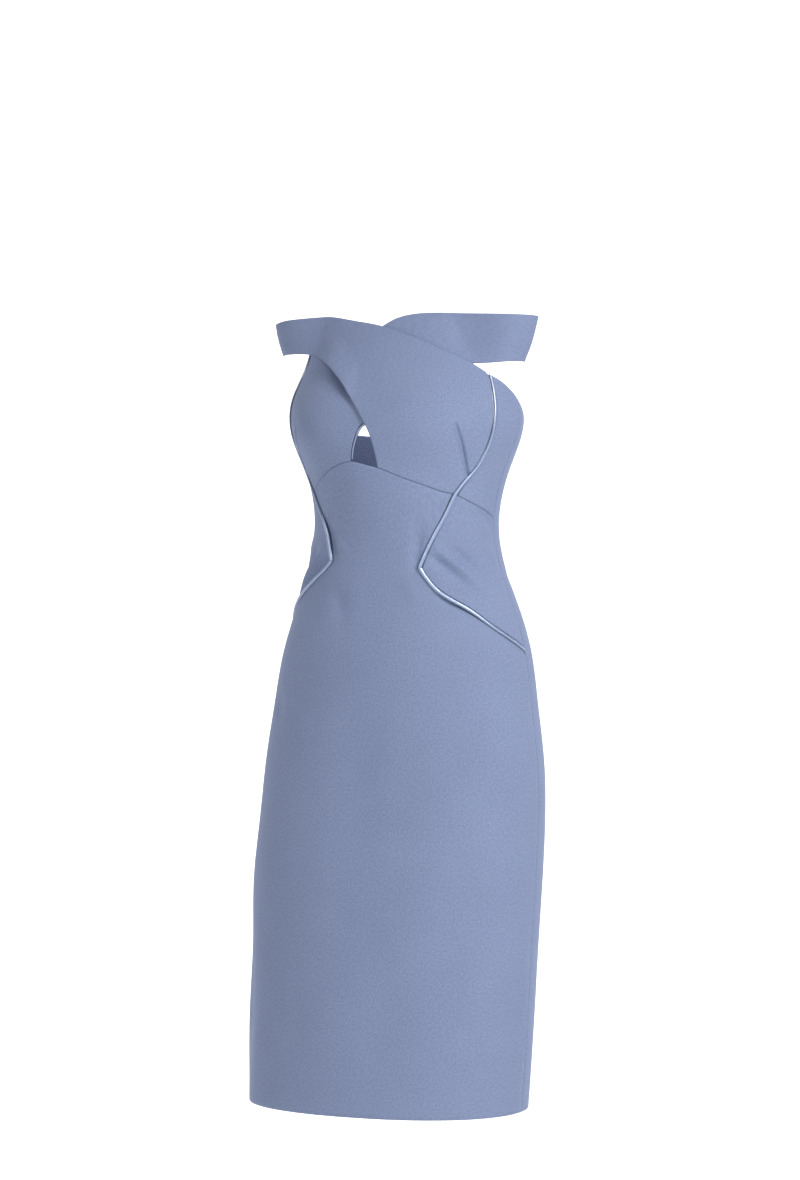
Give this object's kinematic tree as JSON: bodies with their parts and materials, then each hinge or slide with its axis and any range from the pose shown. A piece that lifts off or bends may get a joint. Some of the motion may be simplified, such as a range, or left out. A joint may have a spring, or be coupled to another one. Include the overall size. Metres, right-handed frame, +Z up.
{
  "type": "strapless dress",
  "caption": "Strapless knee-length fitted dress with stiff bands crossed over the bust, a small keyhole, satin piping and a back zip.",
  "frame": {"origin": "inside the dress at the level of the bust, midway between the side seams, where the wearer's bust holds it up", "axes": "+Z up towards the neckline, -Y towards the front of the dress, +X towards the wearer's left"},
  "size_m": [0.3551, 0.2568, 0.9209],
  "materials": {
    "crepe": "matte woven crepe, dusty slate blue",
    "satin": "glossy satin bias piping in the dress colour",
    "zip_metal": "enamelled in the dress colour"
  },
  "bodies": {
    "dress": {"front_panel": "crepe", "cross_band_front": "crepe", "cross_band_rear": "crepe", "side_bodice_left": "crepe", "side_bodice_right": "crepe", "side_hip_left": "crepe", "side_hip_right": "crepe", "back_left": "crepe", "back_right": "crepe", "piping_left": "satin", "piping_right": "satin", "keyhole_piping": "satin", "zip_slider": "zip_metal"},
    "pull": {"zip_pull": "zip_metal"}
  },
  "joints": [
    {"name": "zip_pull_hinge", "type": "hinge", "parent": "dress", "child": "pull", "pos_m": [0.00127, 0.09766, -0.02387], "axis": [1, 0, 0], "range_deg": [0, 150]}
  ]
}
